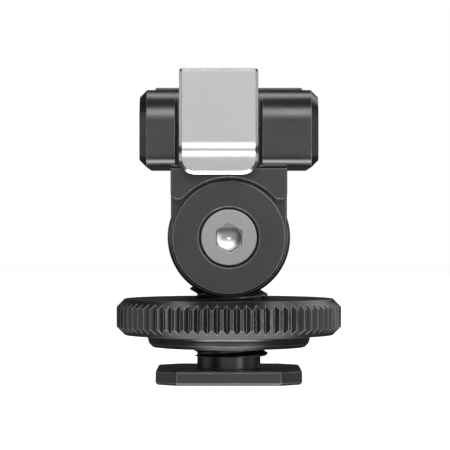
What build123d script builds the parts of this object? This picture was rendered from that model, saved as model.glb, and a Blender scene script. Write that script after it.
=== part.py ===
"""Shoe-mount tilt bracket with a quick-release latch.

A shoe foot carries a threaded post. A knurled wheel runs on the post and clamps the foot in a
camera shoe. The post's knuckle sits in a fork, which tilts with friction, and the fork carries a
block with a sprung latch lever and a fixed jaw that hold a quick-release plate.

Millimetres. X is across the object, Y runs from the lever side (-Y) to the fixed jaw, Z is up.
The origin is the centre of the foot's underside.
"""
import os
from math import radians, sqrt, tan

from build123d import *

# ------------------------------------------------------------------ driving dimensions
# Shoe foot
foot_width = 18.4
foot_length = 18.0
foot_thickness = 1.85
foot_corner = 2.7
foot_bevel = 0.2
foot_sole_bevel = 0.3
shoe_gap = 2.55

# Post: plain neck, thread and knuckle
neck_radius = 4.05
neck_length = 1.45
thread_radius = 4.98
thread_depth = 0.92
thread_pitch = 1.5
knuckle_radius = 7.74
knuckle_thickness = 9.6
knuckle_chamfer = 0.3

# Lock wheel, as it stands at the top of its travel
wheel_radius = 14.37
wheel_flange_height = 1.55
wheel_rim_height = 4.6
wheel_flange_radius = 10.2
wheel_chamfer = 1.03
groove_count = 72
groove_depth = 0.6
groove_width = 0.9
wheel_to_knuckle = 0.13
groove_turn = -1.05
ring_inset = 2.2
ring_thickness = 0.58
ring_stand_out = 0.1

# Fork
fork_set_back = 0.49
ear_thickness = 2.8
bridge_thickness = 0.69
skirt_thickness = 2.0
skirt_drop = 3.97
boss_width = 12.4
boss_height = 3.3
boss_set_back = 4.8

# Hinge hardware
screw_radius = 2.0
screw_head_radius = 3.5
screw_head_height = 2.8
screw_socket = 3.06
screw_end_inset = 0.27
head_side_gap = 0.2
hub_wall = 0.8
cap_set_back = 0.1
nut_across_flats = 7.0
nut_height = 2.3
bush_wall = 1.0
washer_thickness = 0.36
washer_inset = 1.54

# Block
block_width = 22.2
block_height = 9.73
block_overhang = 1.14
block_top_round = 3.75
block_low_round = 1.65
block_end_chamfer = 0.9

# Latch lever
lever_offset = -1.27
lever_width = 9.8
lever_thickness = 1.2
lever_stand_proud = 0.9
lever_rise = 2.52
lever_drop = 0.88
lever_step = 0.5
lever_step_height = 2.12
lip_height = 1.98
lever_pin_radius = 0.75
lever_pin_height = 6.0
lever_pin_depth = 2.2
lug_width = 4.0
lug_wall = 0.67
pocket_depth = 1.05
relief_depth = 2.0

# Lever springs
spring_radius = 1.0
spring_wire = 0.3
spring_pitch = 0.62
spring_inset = 1.3
spring_drop = 0.15
spring_seat_depth = 4.0

# Fixed jaw and the groove along its foot
jaw_end_wall = 1.5
jaw_thickness = 2.7
jaw_rise = 1.05
jaw_depth = 4.6
jaw_overhang = 0.7
jaw_back_wall = 1.0
seat_groove = 0.9
seat_groove_depth = 0.3

# Fits
running_gap = 0.03
slip_gap = 0.05
free_gap = 0.25
side_gap = 0.25
edge_break = 0.15

# ------------------------------------------------------------------ places worked out from those
neck_top = foot_thickness + neck_length
wheel_bottom = foot_thickness + shoe_gap + ring_stand_out
rim_bottom = wheel_bottom + wheel_flange_height
rim_top = rim_bottom + wheel_rim_height
hinge_height = rim_top + wheel_to_knuckle + knuckle_radius
thread_top = hinge_height - sqrt(knuckle_radius**2 - thread_radius**2)
thread_length = thread_top - neck_top
fork_half_width = knuckle_radius - fork_set_back
cap_radius = fork_half_width - cap_set_back
arch_radius = knuckle_radius + free_gap
ear_inner = knuckle_thickness / 2 + washer_thickness + 2 * slip_gap
ear_outer = ear_inner + ear_thickness
skirt_outer = ear_outer + skirt_thickness
block_length = 2 * (skirt_outer + block_overhang)
block_bottom = hinge_height + arch_radius + bridge_thickness
block_top = block_bottom + block_height
block_front = -block_length / 2
lever_pin_z = block_bottom + lever_pin_height
lever_pin_y = block_front + lever_pin_depth
lug_radius = lever_pin_radius + running_gap + lug_wall
hinge_plane = Plane(origin=(0, 0, hinge_height), x_dir=(1, 0, 0), z_dir=(0, -1, 0))


def across(y):
    """A plane facing the lever side at the given depth, with its origin on the hinge axis."""
    return hinge_plane.offset(-y)


def finish(builder, name):
    """Label a piece and write its file."""
    builder.part.label = name
    export_step(builder.part, f"parts/{name}.step")


os.makedirs("parts", exist_ok=True)

# ------------------------------------------------------------------ shoe foot
foot_screw_radius = 1.5
foot_screw_head = 2.9
foot_screw_length = 8.0
foot_screw_socket = 2.0
foot_screw_socket_depth = 1.3
dowel_radius = 0.5
dowel_fit = 0.01
foot_dowel_inset = 0.75
foot_dowel_floor = 0.9
foot_dowel_reach = neck_radius - foot_dowel_inset
foot_dowel_in_foot = foot_thickness - foot_dowel_floor
foot_dowel_length = 2.4

with BuildPart() as shoe_foot:
    with BuildSketch():
        Rectangle(foot_width, foot_length)
        chamfer(vertices(), foot_corner)
    extrude(amount=foot_thickness)
    chamfer(faces().sort_by(Axis.Z)[-1].edges(), foot_bevel)
    chamfer(faces().sort_by(Axis.Z)[0].edges(), foot_sole_bevel)
    with Locations(Plane.XY.rotated((180, 0, 0))):
        CounterSinkHole(foot_screw_radius + slip_gap, foot_screw_head + slip_gap)
    with BuildSketch(Plane.XY.offset(foot_thickness)):
        with Locations((-foot_dowel_reach, 0), (foot_dowel_reach, 0)):
            Circle(dowel_radius + dowel_fit)
    extrude(amount=-foot_dowel_in_foot, mode=Mode.SUBTRACT)
finish(shoe_foot, "shoe_foot")

foot_screw_slope = foot_screw_head - foot_screw_radius

with BuildPart() as foot_screw:
    with BuildSketch(Plane.XZ):
        Polygon(
            (0, slip_gap),
            (foot_screw_head, slip_gap),
            (foot_screw_radius, slip_gap + foot_screw_slope),
            (foot_screw_radius, foot_screw_length),
            (0, foot_screw_length),
            align=None,
        )
    revolve(axis=Axis.Z)
    with BuildSketch(Plane.XY):
        RegularPolygon(foot_screw_socket / 2, 6, major_radius=False)
    extrude(amount=foot_screw_socket_depth, mode=Mode.SUBTRACT)
finish(foot_screw, "foot_screw")

with BuildPart() as foot_dowels:
    with Locations((0, 0, foot_dowel_floor + slip_gap)):
        with GridLocations(2 * foot_dowel_reach, 0, 2, 1):
            Cylinder(dowel_radius, foot_dowel_length, align=(Align.CENTER, Align.CENTER, Align.MIN))
finish(foot_dowels, "foot_dowels")

# ------------------------------------------------------------------ post
# The thread is one ridge of triangular section on a plain core, cut off flat at both ends. Where it
# runs up past the ears, its sides are cut flush with the knuckle's faces.
thread_core = thread_radius - thread_depth
thread_phase = 0.35
thread_half_angle = 30
thread_run_in = 0.5
ridge_root = thread_core - slip_gap
ridge_half_crest = 0.09
ridge_half_root = ridge_half_crest + (thread_radius - ridge_root) * tan(radians(thread_half_angle))
ridge_start = neck_top + thread_phase - 2 * thread_pitch
ridge_height = thread_length + 4 * thread_pitch
ridge_foot = neck_top + slip_gap

with BuildPart() as thread_ridge:
    with BuildLine() as ridge_path:
        Helix(thread_pitch, ridge_height, ridge_root, center=(0, 0, ridge_start))
    with BuildSketch(Plane.XZ) as ridge_section:
        with Locations((ridge_root, ridge_start)):
            Polygon(
                (0, -ridge_half_root),
                (thread_radius - ridge_root, -ridge_half_crest),
                (thread_radius - ridge_root, ridge_half_crest),
                (0, ridge_half_root),
                align=None,
            )
    sweep(sections=ridge_section.sketch, path=ridge_path.line, is_frenet=True)
    with Locations((0, 0, ridge_foot)):
        Cylinder(
            thread_radius + thread_depth,
            thread_top + thread_run_in - ridge_foot,
            align=(Align.CENTER, Align.CENTER, Align.MIN),
            mode=Mode.INTERSECT,
        )

bush_outer = screw_radius + running_gap + bush_wall
flat_bottom = hinge_height - fork_half_width - 4 * slip_gap

with BuildPart() as knuckle:
    with BuildSketch(across(knuckle_thickness / 2)):
        Circle(knuckle_radius)
    extrude(amount=knuckle_thickness)
    chamfer(edges().filter_by(GeomType.CIRCLE), knuckle_chamfer)

with BuildPart() as hinge_post:
    with BuildSketch(Plane.XZ):
        Polygon(
            (0, foot_thickness),
            (neck_radius, foot_thickness),
            (neck_radius, neck_top),
            (thread_core, neck_top),
            (thread_core, thread_top + thread_run_in),
            (0, thread_top + thread_run_in),
            align=None,
        )
    revolve(axis=Axis.Z)
    add(thread_ridge.part)
    for side, align_y in ((-1, Align.MAX), (1, Align.MIN)):
        with Locations((0, side * knuckle_thickness / 2, flat_bottom)):
            Box(
                4 * thread_radius,
                thread_radius,
                thread_top,
                align=(Align.CENTER, align_y, Align.MIN),
                mode=Mode.SUBTRACT,
            )
    add(knuckle.part)
    with BuildSketch(across(knuckle_thickness / 2)):
        Circle(bush_outer)
    extrude(amount=knuckle_thickness, mode=Mode.SUBTRACT)
    with BuildSketch(Plane.XY.offset(foot_thickness)):
        Circle(foot_screw_radius + dowel_fit)
    extrude(amount=foot_screw_length - foot_thickness + 4 * slip_gap, mode=Mode.SUBTRACT)
    with BuildSketch(Plane.XY.offset(foot_thickness)):
        with Locations((-foot_dowel_reach, 0), (foot_dowel_reach, 0)):
            Circle(dowel_radius + dowel_fit)
    extrude(amount=foot_dowel_length - foot_dowel_in_foot + 2 * slip_gap, mode=Mode.SUBTRACT)
finish(hinge_post, "hinge_post")

with BuildPart() as hinge_bush:
    with BuildSketch(across(knuckle_thickness / 2)):
        Circle(bush_outer - dowel_fit)
        Circle(screw_radius + running_gap, mode=Mode.SUBTRACT)
    extrude(amount=knuckle_thickness)
finish(hinge_bush, "hinge_bush")

# ------------------------------------------------------------------ lock wheel and its thrust ring
# The wheel is turned, then cut with V grooves that run out to points on its two chamfers. Its bore
# stands just clear of the thread's crests.
wheel_bore = thread_radius + 2 * running_gap
ring_radius = wheel_flange_radius - ring_inset
bore_chamfer = 0.5
flange_chamfer = 0.45
flange_taper = 0.15
flange_fillet = 0.65
ring_recess = ring_thickness - ring_stand_out
ring_clearance = 0.08
recess_top = wheel_bottom + ring_recess

with BuildPart() as lock_wheel:
    with BuildSketch(Plane.XZ):
        with BuildLine():
            Polyline(
                (wheel_bore, recess_top),
                (ring_radius + ring_clearance, recess_top),
                (ring_radius + ring_clearance, wheel_bottom),
                (wheel_flange_radius - flange_chamfer, wheel_bottom),
                (wheel_flange_radius, wheel_bottom + flange_chamfer),
                (wheel_flange_radius + flange_taper, rim_bottom - flange_fillet),
            )
            RadiusArc(
                (wheel_flange_radius + flange_taper, rim_bottom - flange_fillet),
                (wheel_flange_radius + flange_taper + flange_fillet, rim_bottom),
                flange_fillet,
            )
            Polyline(
                (wheel_flange_radius + flange_taper + flange_fillet, rim_bottom),
                (wheel_radius - wheel_chamfer, rim_bottom),
                (wheel_radius, rim_bottom + wheel_chamfer),
                (wheel_radius, rim_top - wheel_chamfer),
                (wheel_radius - wheel_chamfer, rim_top),
                (wheel_bore + bore_chamfer, rim_top),
                (wheel_bore, rim_top - bore_chamfer),
                (wheel_bore, recess_top),
            )
        make_face()
    revolve(axis=Axis.Z)
    with BuildSketch(Plane.XY.offset(rim_bottom - wheel_chamfer)):
        with PolarLocations(wheel_radius, groove_count, start_angle=groove_turn):
            Polygon(
                (-groove_depth, 0),
                (groove_depth, groove_width),
                (groove_depth, -groove_width),
                align=None,
            )
    extrude(amount=wheel_rim_height + 2 * wheel_chamfer, mode=Mode.SUBTRACT)
finish(lock_wheel, "lock_wheel")

with BuildPart() as thrust_ring:
    with BuildSketch(Plane.XY.offset(wheel_bottom - ring_stand_out)):
        Circle(ring_radius)
        Circle(wheel_bore + 2 * slip_gap, mode=Mode.SUBTRACT)
    extrude(amount=ring_thickness - slip_gap / 2)
    chamfer(edges().group_by(Axis.Z)[0], edge_break)
finish(thrust_ring, "thrust_ring")

# ------------------------------------------------------------------ friction washers
washer_gap = (ear_inner - knuckle_thickness / 2 - washer_thickness) / 2
washer_radius = knuckle_radius - washer_inset
for washer_name, washer_back in (
    ("friction_washer_front", -knuckle_thickness / 2 - washer_gap),
    ("friction_washer_rear", ear_inner - washer_gap),
):
    with BuildPart() as friction_washer:
        with BuildSketch(across(washer_back)):
            Circle(washer_radius)
            Circle(screw_radius + slip_gap, mode=Mode.SUBTRACT)
        extrude(amount=washer_thickness)
    finish(friction_washer, washer_name)

# ------------------------------------------------------------------ fork
# Two round-ended ears with a bridge over the knuckle. A skirt on each side stands out past the cap
# and follows its edge in an arc, and a boss on top sits in the block.
fork_rise = block_bottom - hinge_height
skirt_arc = cap_radius + free_gap
lobe_width = fork_half_width - sqrt(skirt_arc**2 - (fork_rise - skirt_drop) ** 2)
lobe_rounding = 0.55
boss_length = block_length - 2 * boss_set_back
boss_top = block_bottom + boss_height
boss_round = 1.0
boss_floor = 0.5
block_screw_spacing = 7.2
block_screw_radius = 1.5
block_dowel_inset = 1.8
block_dowel_spacing = boss_length - 2 * block_dowel_inset
block_dowel_radius = 0.75
head_bore = screw_head_radius + head_side_gap
hub_radius = head_bore + hub_wall
hub_floor = 1.0
hub_depth = ear_thickness - hub_floor
cap_dowel_reach = (hub_radius + cap_radius) / 2
cap_dowel_length = 2.2
cap_dowel_in_ear = 1.0

with BuildPart() as tilt_yoke:
    with BuildSketch(across(ear_outer)):
        Circle(fork_half_width)
        with Locations((0, fork_rise / 2)):
            Rectangle(2 * fork_half_width, fork_rise)
    extrude(amount=2 * ear_outer)
    ear_edges = faces().filter_by(Axis.Y).edges()
    chamfer(ear_edges.filter_by_position(Axis.Z, 0, block_bottom - edge_break), edge_break)
    for skirt_back in (skirt_outer, edge_break - ear_outer):
        with BuildSketch(across(skirt_back)):
            with Locations((0, fork_rise)):
                Rectangle(2 * fork_half_width, skirt_drop, align=(Align.CENTER, Align.MAX))
            Circle(skirt_arc, mode=Mode.SUBTRACT)
            fillet(vertices().group_by(Axis.Y)[0], lobe_rounding * lobe_width)
        extrude(amount=skirt_thickness + edge_break)
    chamfer(faces().sort_by(Axis.Y)[0].edges() + faces().sort_by(Axis.Y)[-1].edges(), edge_break)
    with BuildSketch(across(ear_inner)):
        Circle(arch_radius)
    extrude(amount=2 * ear_inner, mode=Mode.SUBTRACT)
    with BuildSketch(Plane.XY.offset(block_bottom)):
        Rectangle(boss_width, boss_length)
        fillet(vertices(), boss_round)
    extrude(amount=boss_height)
    with BuildSketch(across(ear_outer)):
        Circle(screw_radius + slip_gap)
    extrude(amount=2 * ear_outer, mode=Mode.SUBTRACT)
    for hub_back in (ear_outer, hub_depth - ear_outer):
        with BuildSketch(across(hub_back)):
            Circle(hub_radius + slip_gap)
        extrude(amount=hub_depth, mode=Mode.SUBTRACT)
    for dowel_back in (ear_outer, cap_dowel_in_ear + slip_gap - ear_outer):
        with BuildSketch(across(dowel_back)):
            with Locations((0, cap_dowel_reach)):
                Circle(dowel_radius + dowel_fit)
        extrude(amount=cap_dowel_in_ear + slip_gap, mode=Mode.SUBTRACT)
    with BuildSketch(Plane.XY.offset(boss_top)):
        with GridLocations(block_screw_spacing, 0, 2, 1):
            Circle(block_screw_radius + dowel_fit)
        with GridLocations(0, block_dowel_spacing, 1, 2):
            Circle(block_dowel_radius + dowel_fit)
    extrude(amount=boss_floor - boss_height, mode=Mode.SUBTRACT)
finish(tilt_yoke, "tilt_yoke")

# ------------------------------------------------------------------ hinge caps, screw and nut
cap_face = skirt_outer
cap_back = ear_outer + dowel_fit
cap_chamfer = 0.18
head_sink = 0.1
head_bearing = cap_face - head_sink - screw_head_height
front_hub_end = ear_outer - hub_depth + slip_gap
spring_washer_height = 0.55
rear_hub_end = ear_outer - hub_depth + spring_washer_height
nut_sink = 0.15
nut_bearing = cap_face - nut_sink - nut_height
screw_length = head_bearing + nut_bearing + nut_height - screw_end_inset

with BuildPart() as tension_cap:
    with BuildSketch(across(-cap_back)):
        Circle(cap_radius)
    extrude(amount=cap_face - cap_back)
    chamfer(faces().sort_by(Axis.Y)[0].edges(), cap_chamfer)
    with BuildSketch(across(-front_hub_end)):
        Circle(hub_radius)
    extrude(amount=cap_back - front_hub_end)
    with BuildSketch(across(-head_bearing)):
        Circle(head_bore)
    extrude(amount=cap_face - head_bearing, mode=Mode.SUBTRACT)
    chamfer(faces().sort_by(Axis.Y)[0].edges().sort_by(SortBy.RADIUS)[0], edge_break)
    with BuildSketch(across(-front_hub_end)):
        Circle(screw_radius + slip_gap)
        with Locations((0, cap_dowel_reach)):
            Circle(dowel_radius + dowel_fit)
    extrude(amount=ear_outer - front_hub_end + cap_dowel_length - cap_dowel_in_ear, mode=Mode.SUBTRACT)
finish(tension_cap, "tension_cap")

with BuildPart() as nut_cap:
    with BuildSketch(across(cap_face)):
        Circle(cap_radius)
    extrude(amount=cap_face - cap_back)
    chamfer(faces().sort_by(Axis.Y)[-1].edges(), cap_chamfer)
    with BuildSketch(across(cap_back)):
        Circle(hub_radius)
    extrude(amount=cap_back - rear_hub_end)
    with BuildSketch(across(cap_face)):
        RegularPolygon(nut_across_flats / 2 + slip_gap, 6, major_radius=False)
    extrude(amount=cap_face - nut_bearing, mode=Mode.SUBTRACT)
    with BuildSketch(across(nut_bearing)):
        Circle(screw_radius + slip_gap)
    extrude(amount=nut_bearing, mode=Mode.SUBTRACT)
    with BuildSketch(across(ear_outer + cap_dowel_length - cap_dowel_in_ear)):
        with Locations((0, cap_dowel_reach)):
            Circle(dowel_radius + dowel_fit)
    extrude(amount=cap_dowel_length, mode=Mode.SUBTRACT)
finish(nut_cap, "nut_cap")

socket_depth = 1.5
socket_tip = 0.35
socket_chamfer = 0.1
socket_floor = head_bearing + screw_head_height - socket_depth
socket_dish = (screw_socket**2 / 4 + socket_tip**2) / (2 * socket_tip)
head_chamfer = 0.08
shank_chamfer = 0.3

with BuildPart() as hinge_screw:
    with BuildSketch(across(-head_bearing)):
        Circle(screw_head_radius)
    extrude(amount=screw_head_height)
    chamfer(faces().sort_by(Axis.Y)[0].edges(), head_chamfer)
    with BuildSketch(across(screw_length - head_bearing)):
        Circle(screw_radius)
    extrude(amount=screw_length)
    chamfer(faces().sort_by(Axis.Y)[-1].edges(), shank_chamfer)
    with BuildSketch(across(-head_bearing - screw_head_height)):
        RegularPolygon(screw_socket / 2, 6, major_radius=False, rotation=30)
    extrude(amount=-socket_depth, mode=Mode.SUBTRACT)
    chamfer(faces().sort_by(Axis.Y)[0].edges().filter_by(GeomType.LINE), socket_chamfer)
    with BuildSketch(Plane.XY.offset(hinge_height)):
        with BuildLine():
            Line((0, -socket_floor), (screw_socket / 2, -socket_floor))
            RadiusArc((screw_socket / 2, -socket_floor), (0, socket_tip - socket_floor), -socket_dish)
            Line((0, socket_tip - socket_floor), (0, -socket_floor))
        make_face()
    revolve(axis=Axis((0, 0, hinge_height), (0, 1, 0)), mode=Mode.SUBTRACT)
finish(hinge_screw, "hinge_screw")

with BuildPart() as hinge_nut:
    with BuildSketch(across(nut_bearing + nut_height)):
        RegularPolygon(nut_across_flats / 2, 6, major_radius=False)
        Circle(screw_radius + dowel_fit, mode=Mode.SUBTRACT)
    extrude(amount=nut_height)
finish(hinge_nut, "hinge_nut")

disc_thickness = 0.35
disc_outer = hub_radius - free_gap - slip_gap
disc_inner = screw_radius + 2 * slip_gap
disc_floor = ear_outer - hub_depth
disc_top = rear_hub_end - dowel_fit

with BuildPart() as disc_spring:
    with BuildSketch(Plane.XY.offset(hinge_height)):
        Polygon(
            (disc_outer, disc_floor),
            (disc_outer, disc_floor + disc_thickness),
            (disc_inner, disc_top),
            (disc_inner, disc_top - disc_thickness),
            align=None,
        )
    revolve(axis=Axis((0, 0, hinge_height), (0, 1, 0)))
finish(disc_spring, "disc_spring")

with BuildPart() as cap_dowels:
    for dowel_back in (ear_outer + cap_dowel_length - cap_dowel_in_ear, cap_dowel_in_ear - ear_outer):
        with BuildSketch(across(dowel_back)):
            with Locations((0, cap_dowel_reach)):
                Circle(dowel_radius)
        extrude(amount=cap_dowel_length)
finish(cap_dowels, "cap_dowels")

# ------------------------------------------------------------------ block
# One bar with its ends cut at 45 degrees, rounded along its edges except the low one at the back.
# The lever's pocket lies a little to the left. The fork's boss fills the recess underneath.
block_back_round = 1.0
pocket_chamfer = 0.3
pocket_half = lever_width / 2 + side_gap
pocket_floor = block_front + pocket_depth
relief_floor = block_front + relief_depth
relief_top = lever_pin_z - lever_pin_radius - slip_gap
lug_gap = 0.3
screw_head_recess = 1.0
block_screw_head = 2.9
block_screw_end_gap = 0.23
block_screw_length = block_height - screw_head_recess - boss_floor - block_screw_end_gap
block_screw_top = block_top - screw_head_recess
block_screw_socket = 2.0
block_screw_socket_depth = 1.2
pin_seat = 2.5
pin_end = lever_offset + pocket_half + pin_seat
spring_back = block_front + spring_seat_depth
spring_spacing = lever_width - 2 * spring_inset
spring_z = lever_pin_z - lug_radius - spring_radius - spring_drop
spring_hole_gap = 0.15
spring_hole = spring_radius + spring_hole_gap
jaw_width = block_width - 2 * jaw_end_wall
jaw_front = block_length / 2 - jaw_back_wall - jaw_thickness
jaw_back = block_length / 2 - jaw_back_wall
jaw_screw_inset = 3.6
jaw_screw_spacing = jaw_width - 2 * jaw_screw_inset
jaw_screw_radius = 0.8
jaw_screw_head = 1.5
jaw_screw_length = 3.0
jaw_screw_drop = 2.6
jaw_screw_socket = 1.3
jaw_screw_socket_depth = 0.8
jaw_screw_z = block_top - jaw_screw_drop
rear_plane = Plane(origin=(0, block_length / 2, jaw_screw_z), x_dir=(-1, 0, 0), z_dir=(0, 1, 0))
block_dowel_in_block = 2.0
block_dowel_length = 4.2

with BuildPart() as clamp_block:
    with BuildSketch(Plane.YZ.offset(-block_width / 2)):
        with Locations((0, block_bottom)):
            Rectangle(block_length, block_height, align=(Align.CENTER, Align.MIN))
        fillet(vertices().group_by(Axis.Y)[0].sort_by(Axis.X)[0], block_low_round)
        fillet(vertices().group_by(Axis.Y)[-1].sort_by(Axis.X)[-1], block_back_round)
        fillet(vertices().group_by(Axis.Y)[-1].sort_by(Axis.X)[0], block_top_round)
    extrude(amount=block_width)
    chamfer(faces().filter_by(Axis.X).edges(), block_end_chamfer)
    with Locations((lever_offset, block_front, block_bottom)):
        Box(
            2 * pocket_half,
            2 * pocket_depth,
            3 * block_height,
            mode=Mode.SUBTRACT,
        )
    pocket_mouth = [
        edge
        for wall in faces().filter_by(Axis.X)
        if abs(abs(wall.center().X - lever_offset) - pocket_half) < slip_gap
        for edge in wall.edges()
        if edge.center().Y < pocket_floor - slip_gap and edge.center().Z > block_bottom + slip_gap
    ]
    chamfer(pocket_mouth, pocket_chamfer)
    with Locations((lever_offset, block_front, relief_top)):
        Box(
            2 * pocket_half,
            2 * (relief_floor - block_front),
            block_height,
            align=(Align.CENTER, Align.CENTER, Align.MAX),
            mode=Mode.SUBTRACT,
        )
    with Locations((lever_offset, lever_pin_y + lug_radius + lug_gap, lever_pin_z)):
        Box(
            lug_width + 2 * lug_gap,
            lever_pin_depth + lug_radius,
            2 * (lug_radius + lug_gap),
            align=(Align.CENTER, Align.MAX, Align.CENTER),
            mode=Mode.SUBTRACT,
        )
    with BuildSketch(Plane.YZ.offset(-block_width / 2)):
        with Locations((lever_pin_y, lever_pin_z)):
            Circle(lever_pin_radius + dowel_fit)
    extrude(amount=pin_end + block_width / 2, mode=Mode.SUBTRACT)
    with BuildSketch(across(spring_back)):
        with Locations((lever_offset, spring_z - hinge_height)):
            with GridLocations(spring_spacing, 0, 2, 1):
                Circle(spring_hole)
    extrude(amount=spring_back - relief_floor, mode=Mode.SUBTRACT)
    with BuildSketch(Plane.XY.offset(block_bottom)):
        Rectangle(boss_width + 2 * slip_gap, boss_length + 2 * slip_gap)
        fillet(vertices(), boss_round)
    extrude(amount=boss_height + slip_gap, mode=Mode.SUBTRACT)
    with Locations(Plane.XY.offset(block_screw_top)):
        with GridLocations(block_screw_spacing, 0, 2, 1):
            CounterSinkHole(block_screw_radius + slip_gap, block_screw_head + slip_gap)
    with BuildSketch(Plane.XY.offset(block_top)):
        with GridLocations(block_screw_spacing, 0, 2, 1):
            Circle(block_screw_head + slip_gap)
    extrude(amount=-screw_head_recess, mode=Mode.SUBTRACT)
    with BuildSketch(Plane.XY.offset(boss_top)):
        with GridLocations(0, block_dowel_spacing, 1, 2):
            Circle(block_dowel_radius + dowel_fit)
    extrude(amount=block_dowel_in_block + slip_gap, mode=Mode.SUBTRACT)
    with Locations((0, jaw_front, block_top)):
        Box(
            jaw_width + 2 * slip_gap,
            jaw_thickness,
            2 * jaw_depth,
            align=(Align.CENTER, Align.MIN, Align.CENTER),
            mode=Mode.SUBTRACT,
        )
    with Locations((0, jaw_front, block_top)):
        Box(
            jaw_width + 2 * slip_gap,
            seat_groove,
            2 * seat_groove_depth,
            align=(Align.CENTER, Align.MAX, Align.CENTER),
            mode=Mode.SUBTRACT,
        )
    with Locations(rear_plane):
        with GridLocations(jaw_screw_spacing, 0, 2, 1):
            CounterSinkHole(
                jaw_screw_radius + slip_gap,
                jaw_screw_head + slip_gap,
                depth=jaw_back_wall + slip_gap,
            )
finish(clamp_block, "clamp_block")

with BuildPart() as block_screws:
    with Locations(Plane.XY.offset(block_screw_top - slip_gap)):
        with GridLocations(block_screw_spacing, 0, 2, 1):
            Cone(
                block_screw_radius,
                block_screw_head,
                block_screw_head - block_screw_radius,
                align=(Align.CENTER, Align.CENTER, Align.MAX),
            )
            Cylinder(
                block_screw_radius,
                block_screw_length,
                align=(Align.CENTER, Align.CENTER, Align.MAX),
            )
    with BuildSketch(Plane.XY.offset(block_screw_top - slip_gap)):
        with GridLocations(block_screw_spacing, 0, 2, 1):
            RegularPolygon(block_screw_socket / 2, 6, major_radius=False)
    extrude(amount=-block_screw_socket_depth, mode=Mode.SUBTRACT)
finish(block_screws, "block_screws")

with BuildPart() as block_dowels:
    with Locations((0, 0, boss_top + block_dowel_in_block)):
        with GridLocations(0, block_dowel_spacing, 1, 2):
            Cylinder(
                block_dowel_radius,
                block_dowel_length,
                align=(Align.CENTER, Align.CENTER, Align.MAX),
            )
finish(block_dowels, "block_dowels")

# ------------------------------------------------------------------ latch lever, its pin and its springs
# One plate, stepped outwards above its lower lip, with a hook along its top and a lug for the pin.
lever_front = block_front - lever_stand_proud
lever_back = lever_front + lever_thickness
lever_top = block_top + lever_rise
lever_foot = block_bottom - lever_drop
step_foot = lever_foot + lip_height
step_head = step_foot + lever_step_height
step_radius = (lever_step_height**2 + lever_step**2) / (4 * lever_step)
hook_reach = 1.0
hook_low = 1.15
hook_high = 1.75
lever_corner = 2.0
lever_top_corner = 0.45


def stepped_edge(y, low, high):
    """Draw one side of the lever's plate, from its foot up to its top, with the step between."""
    middle = ((y - lever_step / 2), (step_foot + step_head) / 2)
    Line((y - lever_step, low), (y - lever_step, step_foot))
    RadiusArc((y - lever_step, step_foot), middle, step_radius)
    RadiusArc(middle, (y, step_head), -step_radius)
    Line((y, step_head), (y, high))


with BuildPart() as latch_lever:
    with BuildSketch(Plane.YZ.offset(lever_offset - lever_width / 2)):
        with BuildLine():
            stepped_edge(lever_front, lever_foot, lever_top)
            stepped_edge(lever_back, lever_foot, block_top + hook_low - hook_reach)
            Polyline(
                (lever_back, block_top + hook_low - hook_reach),
                (lever_back + hook_reach, block_top + hook_low),
                (lever_back + hook_reach, block_top + hook_high),
                (lever_back, lever_top),
                (lever_front, lever_top),
            )
            Line((lever_front - lever_step, lever_foot), (lever_back - lever_step, lever_foot))
        make_face()
    extrude(amount=lever_width)
    fillet(edges().filter_by(Axis.Y).group_by(Axis.Z)[0], lever_corner)
    fillet(edges().filter_by(Axis.Y).group_by(Axis.Z)[-1], lever_top_corner)
    with BuildSketch(Plane.YZ.offset(lever_offset - lug_width / 2)):
        with Locations((lever_pin_y, lever_pin_z)):
            Circle(lug_radius)
            Rectangle(
                lever_pin_y - lever_back + slip_gap,
                2 * lug_radius,
                align=(Align.MAX, Align.CENTER),
            )
    extrude(amount=lug_width)
    with BuildSketch(Plane.YZ.offset(lever_offset - lug_width / 2)):
        with Locations((lever_pin_y, lever_pin_z)):
            Circle(lever_pin_radius + running_gap)
    extrude(amount=lug_width, mode=Mode.SUBTRACT)
finish(latch_lever, "latch_lever")

with BuildPart() as lever_pin:
    with BuildSketch(Plane.YZ.offset(slip_gap - block_width / 2)):
        with Locations((lever_pin_y, lever_pin_z)):
            Circle(lever_pin_radius)
    extrude(amount=pin_end + block_width / 2 - 2 * slip_gap)
finish(lever_pin, "lever_pin")

spring_front = lever_back + slip_gap
spring_end = spring_back - slip_gap
coil_radius = spring_radius - spring_wire / 2
for spring_side, spring_name in ((-1, "lever_spring_left"), (1, "lever_spring_right")):
    spring_x = lever_offset + spring_side * spring_spacing / 2
    with BuildPart() as lever_spring:
        with BuildLine() as coil:
            Helix(
                spring_pitch,
                spring_end - spring_front - spring_wire - slip_gap,
                coil_radius,
                center=(spring_x, spring_front + spring_wire / 2 + slip_gap / 2, spring_z),
                direction=(0, 1, 0),
            )
        with BuildSketch(Plane(origin=coil.line @ 0, z_dir=coil.line % 0)) as wire_section:
            Circle(spring_wire / 2)
        sweep(sections=wire_section.sketch, path=coil.line, is_frenet=True)
    finish(lever_spring, spring_name)

# ------------------------------------------------------------------ fixed jaw
# A bar let into the block's top. Its front leans over the plate's far edge.
jaw_lean = 0.65

with BuildPart() as fixed_jaw:
    with BuildSketch(Plane.YZ.offset(-jaw_width / 2)):
        Polygon(
            (jaw_front + slip_gap, block_top - jaw_depth + slip_gap),
            (jaw_back - slip_gap, block_top - jaw_depth + slip_gap),
            (jaw_back - slip_gap, block_top + jaw_rise),
            (jaw_front - jaw_overhang, block_top + jaw_rise),
            (jaw_front - jaw_overhang, block_top + jaw_lean),
            (jaw_front + slip_gap, block_top - slip_gap),
            align=None,
        )
    extrude(amount=jaw_width)
    chamfer(faces().sort_by(Axis.Z)[-1].edges(), edge_break)
    with Locations(rear_plane.offset(-jaw_back_wall)):
        with GridLocations(jaw_screw_spacing, 0, 2, 1):
            Hole(jaw_screw_radius + dowel_fit)
finish(fixed_jaw, "fixed_jaw")

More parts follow.
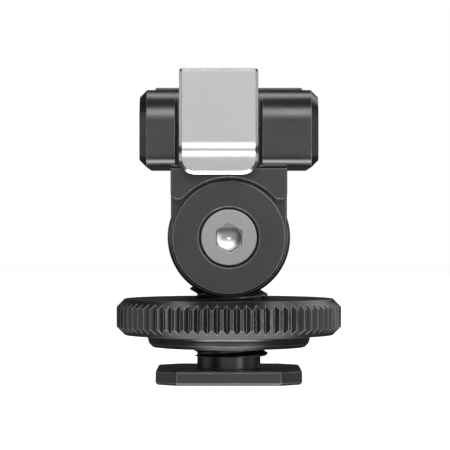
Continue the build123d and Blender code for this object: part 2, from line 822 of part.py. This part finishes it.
with BuildPart() as jaw_screws:
    with Locations(rear_plane.offset(-slip_gap)):
        with GridLocations(jaw_screw_spacing, 0, 2, 1):
            Cone(
                jaw_screw_radius,
                jaw_screw_head,
                jaw_screw_head - jaw_screw_radius,
                align=(Align.CENTER, Align.CENTER, Align.MAX),
            )
            Cylinder(
                jaw_screw_radius,
                jaw_screw_length,
                align=(Align.CENTER, Align.CENTER, Align.MAX),
            )
    with BuildSketch(rear_plane.offset(-slip_gap)):
        with GridLocations(jaw_screw_spacing, 0, 2, 1):
            RegularPolygon(jaw_screw_socket / 2, 6, major_radius=False)
    extrude(amount=-jaw_screw_socket_depth, mode=Mode.SUBTRACT)
finish(jaw_screws, "jaw_screws")
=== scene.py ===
from math import asin, cos, pi, radians, sin

import bmesh
import bpy
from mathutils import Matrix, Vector


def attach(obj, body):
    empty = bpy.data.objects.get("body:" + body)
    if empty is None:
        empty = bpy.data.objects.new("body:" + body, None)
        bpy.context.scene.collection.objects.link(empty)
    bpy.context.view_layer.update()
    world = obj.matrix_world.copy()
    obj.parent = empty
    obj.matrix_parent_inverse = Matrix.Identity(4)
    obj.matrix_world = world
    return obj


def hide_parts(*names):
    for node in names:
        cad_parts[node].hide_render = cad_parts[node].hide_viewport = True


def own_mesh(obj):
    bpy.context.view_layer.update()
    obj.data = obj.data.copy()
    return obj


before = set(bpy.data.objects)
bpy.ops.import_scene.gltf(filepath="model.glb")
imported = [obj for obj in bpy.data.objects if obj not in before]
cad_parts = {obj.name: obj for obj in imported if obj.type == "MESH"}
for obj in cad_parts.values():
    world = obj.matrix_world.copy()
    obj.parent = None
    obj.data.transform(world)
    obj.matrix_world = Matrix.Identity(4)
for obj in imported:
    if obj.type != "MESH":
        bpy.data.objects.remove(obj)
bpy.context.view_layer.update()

# ---------------------------------------------------------------- shoe foot
# A flat plate of machined aluminium with its corners cut off, which slides into a camera's
# accessory shoe. It is bead-blasted, then anodised satin black, as all the black pieces are.
# A countersunk screw holds it up against the post, and two dowels keep it from turning.


def link(tree, source, output, target, entry):
    """Join an output of one shader node to an input of another."""
    tree.links.new(source.outputs[output], target.inputs[entry])


def add_node(tree, kind, **values):
    """Add a shader node and set its properties and its inputs by name."""
    shader_node = tree.nodes.new(kind)
    for key, value in values.items():
        if hasattr(shader_node, key):
            setattr(shader_node, key, value)
        else:
            shader_node.inputs[key.replace("_", " ")].default_value = value
    return shader_node


def add_grain(tree, coords, scale, detail=3.0, roughness=0.55):
    """A noise pattern of the given scale on the piece's own coordinates."""
    grain = add_node(tree, "ShaderNodeTexNoise", Scale=scale, Detail=detail, Roughness=roughness)
    link(tree, coords, "Object", grain, "Vector")
    return grain


def remap(tree, source, output, low, high, to_low, to_high):
    """Stretch part of a value's range onto another."""
    spread = add_node(
        tree, "ShaderNodeMapRange", From_Min=low, From_Max=high, To_Min=to_low, To_Max=to_high
    )
    link(tree, source, output, spread, "Value")
    return spread


grain_low = 0.3
grain_high = 0.7


def remap_grain(tree, grain, to_low, to_high):
    """Stretch the range that a noise pattern mostly keeps to onto another."""
    return remap(tree, grain, "Fac", grain_low, grain_high, to_low, to_high)


flat_bend = 0.995


def find_edges(tree, radius, softness):
    """Round the shading of sharp edges, and find where they are for the wear and painted highlight on
    them.
    """
    rounded = add_node(tree, "ShaderNodeBevel", samples=6, Radius=radius)
    surface = add_node(tree, "ShaderNodeNewGeometry")
    bend = add_node(tree, "ShaderNodeVectorMath", operation="DOT_PRODUCT")
    link(tree, rounded, "Normal", bend, 0)
    link(tree, surface, "Normal", bend, 1)
    edges = remap(tree, bend, "Value", flat_bend, 1 - softness, 0.0, 1.0)
    return rounded, edges


def blend_colours(tree, factor, output, first, second):
    """Blend two colours by a pattern. The first may be a colour or another blend."""
    blend = add_node(tree, "ShaderNodeMix", data_type="RGBA")
    link(tree, factor, output, blend, 0)
    if isinstance(first, tuple):
        blend.inputs[6].default_value = (*first, 1.0)
    else:
        tree.links.new(first.outputs[2], blend.inputs[6])
    blend.inputs[7].default_value = (*second, 1.0)
    return blend


def start_finish(name):
    """A new material, its shader, and the piece's own coordinates to lay patterns on."""
    material = bpy.data.materials.new(name)
    material.use_nodes = True
    tree = material.node_tree
    return material, tree, tree.nodes["Principled BSDF"], add_node(tree, "ShaderNodeTexCoord")


def press_texture(tree, paint, grain, strength, distance, rounded=None):
    """Give the surface a fine relief, over the shading of its rounded edges if it has any."""
    texture = add_node(tree, "ShaderNodeBump", Strength=strength, Distance=distance)
    link(tree, grain, "Fac", texture, "Height")
    if rounded:
        link(tree, rounded, "Normal", texture, "Normal")
    link(tree, texture, "Normal", paint, "Normal")


film_dark = (0.006, 0.006, 0.00618)
film_light = (0.010, 0.010, 0.0102)
film_rough = 0.30
film_rough_spread = 0.035
film_specular = 1.0
# How faint the lightened edges get in patches; the lightening is partly wear and partly a painted
# highlight.
least_wear_and_highlight = 0.35


def black_anodised(name, edge_wear_and_highlight=0.38, edge_radius=0.00012):
    """Blasted and anodised aluminium: a fine even grain, faint clouding, and edges lighter, partly rubbed
    wear and partly a painted highlight.
    """
    material, tree, paint, coords = start_finish(name)
    blast = add_grain(tree, coords, scale=7000.0)
    clouds = add_grain(tree, coords, scale=260.0, detail=5.0)
    scuffs_and_glints = add_grain(tree, coords, scale=1400.0, detail=4.0)
    rounded, edges = find_edges(tree, edge_radius, softness=0.07)
    film = blend_colours(tree, clouds, "Fac", film_dark, film_light)
    # The edges are painted lighter: partly rubbed wear, partly a painted highlight where the chamfers
    # catch the light.
    rubbed_and_highlit = add_node(tree, "ShaderNodeMath", operation="MULTIPLY")
    link(tree, edges, "Result", rubbed_and_highlit, 0)
    link(tree, remap_grain(tree, scuffs_and_glints, least_wear_and_highlight, 1.0), "Result", rubbed_and_highlit, 1)
    worn_and_highlit = blend_colours(tree, rubbed_and_highlit, "Value", film, (edge_wear_and_highlight, edge_wear_and_highlight, edge_wear_and_highlight))
    tree.links.new(worn_and_highlit.outputs[2], paint.inputs["Base Color"])
    satin = remap_grain(tree, clouds, film_rough - film_rough_spread, film_rough + film_rough_spread)
    link(tree, satin, "Result", paint, "Roughness")
    press_texture(tree, paint, blast, strength=0.16, distance=0.00003, rounded=rounded)
    paint.inputs["Specular IOR Level"].default_value = film_specular
    return material


metal_rough_spread = 0.05
metal_edge_radius = 0.00006
cloud_share = 0.9
speck_share = 0.72
# How much brighter the edges are painted: partly rubbed wear, partly a painted highlight.
edge_share = 1.25
most_specks = 0.5


def bare_metal(name, colour, rough, grain=5000.0, depth=0.14):
    """Uncoated metal with a fine even finish, faint clouding, and edges brighter, partly rubbed wear and
    partly a painted highlight.
    """
    material, tree, paint, coords = start_finish(name)
    finish = add_grain(tree, coords, grain, detail=4.0, roughness=0.6)
    clouds = add_grain(tree, coords, scale=320.0, detail=4.0)
    rounded, edges = find_edges(tree, metal_edge_radius, softness=0.2)
    clouded = tuple(channel * cloud_share for channel in colour)
    speck = tuple(channel * speck_share for channel in colour)
    # The edges are painted brighter: partly rubbed wear, partly a painted highlight.
    rubbed_and_highlit = tuple(min(1.0, channel * edge_share) for channel in colour)
    face = blend_colours(tree, clouds, "Fac", clouded, colour)
    speckled = blend_colours(tree, remap_grain(tree, finish, 0.0, most_specks), "Result", face, speck)
    worn_and_highlit = blend_colours(tree, edges, "Result", speckled, rubbed_and_highlit)
    tree.links.new(worn_and_highlit.outputs[2], paint.inputs["Base Color"])
    polish = remap(
        tree, finish, "Fac", 0.25, 0.75, rough - metal_rough_spread, rough + metal_rough_spread
    )
    link(tree, polish, "Result", paint, "Roughness")
    press_texture(tree, paint, finish, strength=depth, distance=0.00002, rounded=rounded)
    paint.inputs["Metallic"].default_value = 1.0
    return material


def paint_nodes(material, *names):
    """Give CAD pieces their finish."""
    for name in names:
        for material_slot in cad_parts[name].material_slots:
            material_slot.material = material


# The foot's edges are painted lighter: partly rubbed wear, partly a painted highlight.
foot_black = black_anodised("foot_black", edge_wear_and_highlight=0.5)
black_oxide = bare_metal("black_oxide", (0.05, 0.05, 0.052), 0.38)
pin_steel = bare_metal("pin_steel", (0.55, 0.55, 0.54), 0.28)
paint_nodes(foot_black, "shoe_foot")
paint_nodes(black_oxide, "foot_screw")
paint_nodes(pin_steel, "foot_dowels")

# ---------------------------------------------------------------- post
# One turned and milled aluminium piece: a neck, an M10 thread and a round knuckle for the hinge.
# A bronze-coloured bush is pressed into the knuckle, with a nylon friction washer on each side.
post_black = black_anodised("post_black")
turned_brass = bare_metal("turned_brass", (0.72, 0.53, 0.26), 0.3)
paint_nodes(post_black, "hinge_post")
paint_nodes(turned_brass, "hinge_bush")


nylon_dark = (0.022, 0.022, 0.023)
nylon_light = (0.032, 0.032, 0.032)


def black_nylon(name):
    """Moulded nylon with a faint grain and a soft shine."""
    material, tree, paint, coords = start_finish(name)
    grain = add_grain(tree, coords, scale=3000.0)
    tint = blend_colours(tree, grain, "Fac", nylon_dark, nylon_light)
    tree.links.new(tint.outputs[2], paint.inputs["Base Color"])
    link(tree, remap_grain(tree, grain, 0.48, 0.58), "Result", paint, "Roughness")
    press_texture(tree, paint, grain, strength=0.2, distance=0.00003)
    return material


washer_nylon = black_nylon("washer_nylon")
paint_nodes(washer_nylon, "friction_washer_front", "friction_washer_rear")

# ---------------------------------------------------------------- lock wheel
# A turned aluminium wheel with V grooves milled round its rim for the fingers. A nylon ring in
# its underside takes the rubbing when it is screwed down on the shoe.
# The wheel's edges are painted lighter: partly rubbed wear, partly a painted highlight.
wheel_black = black_anodised("wheel_black", edge_wear_and_highlight=0.5, edge_radius=0.0001)
paint_nodes(wheel_black, "lock_wheel")
paint_nodes(washer_nylon, "thrust_ring")

# ---------------------------------------------------------------- fork and hinge
# The fork straddles the knuckle. A cap on each side covers its ears; a stainless cap screw goes in
# from the front, and its nut and a disc spring at the back set how stiffly the hinge tilts.
fork_black = black_anodised("fork_black")
# The caps' edges are painted lightest: partly rubbed wear, partly a painted highlight.
cap_black = black_anodised("cap_black", edge_wear_and_highlight=0.6)
screw_steel = bare_metal("screw_steel", (0.50, 0.50, 0.49), 0.32)
paint_nodes(fork_black, "tilt_yoke")
paint_nodes(cap_black, "tension_cap", "nut_cap")
paint_nodes(screw_steel, "hinge_screw", "hinge_nut")
paint_nodes(pin_steel, "disc_spring", "cap_dowels")

# ---------------------------------------------------------------- block
# A milled aluminium bar that carries the plate on its flat top, with a pocket for the lever cut in
# its front. Two countersunk screws and two dowels hold it on the fork.
block_black = black_anodised("block_black")
paint_nodes(block_black, "clamp_block")
paint_nodes(black_oxide, "block_screws")
paint_nodes(pin_steel, "block_dowels")

# ---------------------------------------------------------------- latch lever
# One aluminium plate with a step above its lower lip, blasted and anodised clear. Its front edges
# are chamfered after blasting, so they shine. It turns on a pin, and two springs push its lip out.
silver_satin = bare_metal("silver_satin", (0.64, 0.64, 0.645), 0.33, grain=4200.0, depth=0.5)
bright_cut = bare_metal("bright_cut", (0.92, 0.92, 0.93), 0.2, depth=0.03)
paint_nodes(pin_steel, "lever_pin")


def deselect_everything():
    """Leave no object selected before a new one is added."""
    for thing in bpy.context.selected_objects:
        thing.select_set(False)


def select_parts(piece, kind, wanted):
    """In edit mode, select only those vertices, edges or faces that pass the test."""
    bpy.ops.mesh.select_mode(type=kind)
    bpy.ops.mesh.select_all(action="DESELECT")
    mesh = bmesh.from_edit_mesh(piece.data)
    parts = {"VERT": mesh.verts, "EDGE": mesh.edges, "FACE": mesh.faces}[kind]
    for part in parts:
        if wanted(part):
            part.select_set(True)
    mesh.select_flush_mode()
    bmesh.update_edit_mesh(piece.data)


near_enough = 0.00001


def near(value, target):
    """Whether two lengths are the same, to a hundredth of a millimetre."""
    return abs(value - target) < near_enough


def lies_on_top(face, height):
    """Whether a face looks up at this height."""
    return face.normal.z > 0.5 and near(face.calc_center_median().z, height)


def runs_through(edge, height):
    """Whether an edge runs straight through the plate at this height, as those of its corners do."""
    first, last = edge.verts
    return near(first.co.z, height) and near(last.co.z, height) and near(first.co.x, last.co.x)


lever_x = -0.00127
lever_width = 0.0098
lever_front = -0.0121
lever_thickness = 0.0012
lever_foot = 0.02632
lever_top = 0.03945
step_foot = 0.0283
step_head = 0.03042
step_depth = 0.0005
step_radius = ((step_head - step_foot) ** 2 + step_depth**2) / (4 * step_depth)
step_turns = 7
hook_reach = 0.001
hook_rows = ((0.03708, 0.0), (0.03808, hook_reach), (0.03868, hook_reach), (lever_top, 0.0))
low_corner = 0.00195
low_corner_steps = 10
top_corner = 0.00045
top_corner_steps = 5
rim_cut = 0.00038
rim_depth = 0.00022
back_cut = 0.00012
lug_radius = 0.00145
lug_width = 0.004
lug_y = -0.009
lug_z = 0.0332
pin_bore = 0.00078
round_sides = 40
lever_smoothing = radians(22)

step_angle = asin((step_head - step_foot) / 2 / step_radius)
step_rows = []
for turn in range(1, step_turns + 1):
    angle = step_angle * turn / step_turns
    step_rows.append((step_foot + step_radius * sin(angle), -step_depth + step_radius * (1 - cos(angle))))
for turn in range(step_turns - 1, -1, -1):
    angle = step_angle * turn / step_turns
    step_rows.append((step_head - step_radius * sin(angle), -step_radius * (1 - cos(angle))))

deselect_everything()
bpy.ops.mesh.primitive_cube_add(size=1.0, location=(lever_x, 0, 0))
lever = bpy.context.object
lever.name = "lever_plate"
lever.scale = (lever_width, lever_thickness, step_foot - lever_foot)
lever.location.y = lever_front - step_depth + lever_thickness / 2
lever.location.z = (lever_foot + step_foot) / 2
bpy.ops.object.transform_apply(location=True, rotation=True, scale=True)
bpy.ops.object.mode_set(mode="EDIT")
row_z, row_y = step_foot, -step_depth
for next_z, next_y in step_rows:
    select_parts(lever, "FACE", lambda face: lies_on_top(face, row_z))
    row_step = (0, next_y - row_y, next_z - row_z)
    bpy.ops.mesh.extrude_region_move(TRANSFORM_OT_translate={"value": row_step})
    row_z, row_y = next_z, next_y
row_y = 0.0
for next_z, next_y in hook_rows:
    select_parts(lever, "FACE", lambda face: lies_on_top(face, row_z))
    bpy.ops.mesh.extrude_region_move(TRANSFORM_OT_translate={"value": (0, 0, next_z - row_z)})
    lever_back = lever_front + lever_thickness + row_y
    select_parts(
        lever, "VERT", lambda point: near(point.co.z, next_z) and near(point.co.y, lever_back)
    )
    bpy.ops.transform.translate(value=(0, next_y - row_y, 0))
    row_z, row_y = next_z, next_y
select_parts(lever, "EDGE", lambda edge: runs_through(edge, lever_foot))
bpy.ops.mesh.bevel(
    offset=low_corner,
    offset_type="OFFSET",
    segments=low_corner_steps,
    affect="EDGES",
    clamp_overlap=False,
)
select_parts(lever, "EDGE", lambda edge: runs_through(edge, lever_top))
bpy.ops.mesh.bevel(offset=top_corner, offset_type="OFFSET", segments=top_corner_steps, affect="EDGES")


def on_front_rim(edge):
    """Whether an edge lies between the plate's front and its sides, foot or top."""
    fronts = [face for face in edge.link_faces if abs(face.normal.x) < 0.01 and face.normal.y < -0.4]
    return len(fronts) == 1


def on_rim_foot(point):
    """Whether a vertex lies where the rim's cut meets the plate's foot and its two corners."""
    cuts = [face for face in point.link_faces if face.material_index == 1]
    sides = [face for face in point.link_faces if abs(face.normal.y) < 0.05]
    return bool(cuts) and bool(sides) and point.co.z < lever_foot + low_corner - near_enough


lever.data.materials.append(silver_satin)
lever.data.materials.append(bright_cut)
select_parts(lever, "EDGE", on_front_rim)
bpy.ops.mesh.bevel(offset=rim_cut, offset_type="OFFSET", segments=1, affect="EDGES", material=1)
select_parts(lever, "VERT", on_rim_foot)
bpy.ops.transform.translate(value=(0, rim_depth - rim_cut, 0))
bpy.ops.mesh.select_all(action="SELECT")
bpy.ops.mesh.normals_make_consistent(inside=False)
bpy.ops.object.mode_set(mode="OBJECT")



def add_cross_bar(radius, length):
    """A round bar that lies across the lever, on the axis it turns on."""
    deselect_everything()
    bpy.ops.mesh.primitive_cylinder_add(
        vertices=round_sides,
        radius=radius,
        depth=length,
        location=(lever_x, lug_y, lug_z),
        rotation=(0, pi / 2, 0),
    )
    bpy.ops.object.transform_apply(location=True, rotation=True, scale=True)
    return bpy.context.object


lug = add_cross_bar(lug_radius, lug_width)
bpy.ops.object.mode_set(mode="EDIT")
lever_rear = lever_front + lever_thickness
select_parts(lug, "FACE", lambda face: abs(face.normal.x) < 0.5 and face.normal.y < -0.05)
bpy.ops.mesh.extrude_region_move(TRANSFORM_OT_translate={"value": (0, lever_rear - lug_y, 0)})
select_parts(lug, "VERT", lambda point: point.co.y < lever_rear)
bpy.ops.transform.resize(value=(1, 0, 1), center_override=(lever_x, lever_rear - back_cut, lug_z))
bpy.ops.object.mode_set(mode="OBJECT")
pin_cutter = add_cross_bar(pin_bore, 2 * lug_width)
deselect_everything()
lug.select_set(True)
bpy.context.view_layer.objects.active = lug
bore_cut = lug.modifiers.new("bore", "BOOLEAN")
bore_cut.operation = "DIFFERENCE"
bore_cut.object = pin_cutter
bpy.ops.object.modifier_apply(modifier="bore")
bpy.data.objects.remove(pin_cutter)
lug.data.materials.append(silver_satin)
lever.select_set(True)
bpy.context.view_layer.objects.active = lever
bpy.ops.object.join()
bpy.ops.object.shade_smooth_by_angle(angle=lever_smoothing)
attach(lever, "lever")
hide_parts("latch_lever")

# ---------------------------------------------------------------- lever springs
# Two small coils of stainless wire stand in holes behind the lever's lower half. They push its lip out.
wire_radius = 0.00015
coil_radius = 0.00085
coil_start = -0.010675
coil_length = 0.00325
coil_pitch = 0.00062
coil_height = 0.0306
coil_spacing = 0.0072
wire_sides = 10
steps_per_turn = 20
wire_smoothing = radians(50)

coil_turns = coil_length / coil_pitch


def on_wire_end(edge, end_y):
    """Whether an edge is on the open end of the wire that starts at this depth."""
    return edge.is_boundary and abs(edge.verts[0].co.y - end_y) < 1.1 * wire_radius


for spring_side, spring_name in ((-1, "left"), (1, "right")):
    deselect_everything()
    bpy.ops.mesh.primitive_circle_add(vertices=wire_sides, radius=wire_radius, location=(0, 0, 0))
    spring = bpy.context.object
    spring.name = f"coil_{spring_name}"
    bpy.ops.object.mode_set(mode="EDIT")
    bpy.ops.mesh.select_all(action="SELECT")
    bpy.ops.transform.translate(value=(coil_radius, 0, 0))
    bpy.ops.object.mode_set(mode="OBJECT")
    winding = spring.modifiers.new("winding", "SCREW")
    winding.axis = "Y"
    winding.angle = 2 * pi * coil_turns
    winding.screw_offset = coil_length
    winding.steps = round(steps_per_turn * coil_turns)
    winding.render_steps = winding.steps
    bpy.ops.object.modifier_apply(modifier="winding")
    bpy.ops.object.mode_set(mode="EDIT")
    for wire_end in (0, coil_length):
        select_parts(spring, "EDGE", lambda edge: on_wire_end(edge, wire_end))
        bpy.ops.mesh.edge_face_add()
    bpy.ops.mesh.select_all(action="SELECT")
    bpy.ops.mesh.normals_make_consistent(inside=False)
    bpy.ops.object.mode_set(mode="OBJECT")
    spring.location = (lever_x + spring_side * coil_spacing / 2, coil_start, coil_height)
    bpy.ops.object.transform_apply(location=True, rotation=True, scale=True)
    bpy.ops.object.shade_smooth_by_angle(angle=wire_smoothing)
    spring.data.materials.append(pin_steel)
    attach(spring, "head")
    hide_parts(f"lever_spring_{spring_name}")
    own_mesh(spring)

# ---------------------------------------------------------------- fixed jaw
# A bar of the same black aluminium let into the block's top, held by two small screws from
# behind. Its front leans over the far edge of the plate.
jaw_black = black_anodised("jaw_black")
paint_nodes(jaw_black, "fixed_jaw")
paint_nodes(black_oxide, "jaw_screws")

# ---------------------------------------------------------------- floor, lights and camera
# The bracket stands on a plain white table among nine rectangular soft boxes: one overhead, one
# above the camera and a faint one behind it, one low in front, one below for the undersides, and
# four round the sides. The table glows, but is kept out of the bracket's light and reflections.
table_radius = 0.9
table_rim_points = 96
table_colour = (0.9, 0.9, 0.9, 1.0)
pure_white = (1.0, 1.0, 1.0, 1.0)
table_glow = 0.9

deselect_everything()
bpy.ops.mesh.primitive_circle_add(
    vertices=table_rim_points, radius=table_radius, fill_type="NGON", location=(0, 0, 0)
)
table_top = bpy.context.object
table_top.name = "table_top"
table_white, table_tree, table_paint, table_coords = start_finish("table_white")
table_grain = add_grain(table_tree, table_coords, scale=40.0)
link(table_tree, remap_grain(table_tree, table_grain, 0.55, 0.65), "Result", table_paint, "Roughness")
table_paint.inputs["Base Color"].default_value = table_colour
table_paint.inputs["Emission Color"].default_value = pure_white
table_paint.inputs["Emission Strength"].default_value = table_glow
table_top.data.materials.append(table_white)
table_top.visible_diffuse = False
table_top.visible_glossy = False
table_top.visible_shadow = False


object_middle = Vector((0.0, 0.0, 0.02))


def soft_box(name, place, width, height, radiance):
    """A rectangular studio light of even brightness, turned towards the object."""
    light = bpy.data.lights.new(name, "AREA")
    light.shape = "RECTANGLE"
    light.size = width
    light.size_y = height
    light.energy = radiance * pi * width * height
    lamp = bpy.data.objects.new(name, light)
    bpy.context.scene.collection.objects.link(lamp)
    lamp.location = place
    lamp.rotation_euler = (object_middle - Vector(place)).to_track_quat("-Z", "Y").to_euler()
    lamp.visible_camera = False


soft_box("overhead_light", place=(0.0, 0.11, 0.42), width=0.44, height=0.165, radiance=3.0)
soft_box("front_light", place=(0.10, -0.43, 0.27), width=0.64, height=0.24, radiance=4.2)
soft_box("low_front_light", place=(0.0, -0.155, -0.30), width=0.44, height=0.14, radiance=7.0)
soft_box("bottom_light", place=(0.0, 0.06, -0.40), width=0.44, height=0.34, radiance=1.4)
soft_box("left_light", place=(-0.42, -0.02, 0.05), width=0.30, height=0.20, radiance=0.45)
soft_box("right_light", place=(0.29, -0.33, 0.04), width=0.09, height=0.22, radiance=3.6)
soft_box("right_side_light", place=(0.42, -0.02, 0.05), width=0.30, height=0.20, radiance=0.4)
soft_box("right_back_light", place=(0.27, 0.27, 0.24), width=0.20, height=0.30, radiance=1.3)
soft_box("front_fill", place=(0.0, -0.70, -0.09), width=0.90, height=0.41, radiance=0.58)

studio_grey = (0.05, 0.05, 0.05, 1.0)

studio = bpy.data.worlds.new("studio")
studio.use_nodes = True
bpy.context.scene.world = studio
studio_tree = studio.node_tree
studio_back = studio_tree.nodes["Background"]
studio_back.inputs["Color"].default_value = studio_grey
studio_white = add_node(studio_tree, "ShaderNodeBackground")
studio_white.inputs["Color"].default_value = pure_white
seen = add_node(studio_tree, "ShaderNodeLightPath")
choice = add_node(studio_tree, "ShaderNodeMixShader")
link(studio_tree, seen, "Is Camera Ray", choice, 0)
link(studio_tree, studio_back, "Background", choice, 1)
link(studio_tree, studio_white, "Background", choice, 2)
link(studio_tree, choice, "Shader", studio_tree.nodes["World Output"], "Surface")

camera_place = Vector((-0.00049, -0.320, 0.02056))
camera_aim = Vector((-0.00049, 0.0, 0.02005))
camera_data = bpy.data.cameras.new("camera")
camera_data.lens = 200.0
camera_data.sensor_width = 36.0
camera_data.clip_start = 0.01
camera = bpy.data.objects.new("camera", camera_data)
bpy.context.scene.collection.objects.link(camera)
camera.location = camera_place
camera.rotation_euler = (camera_aim - camera_place).to_track_quat("-Z", "Y").to_euler()
bpy.context.scene.camera = camera
bpy.context.scene.view_settings.view_transform = "Standard"
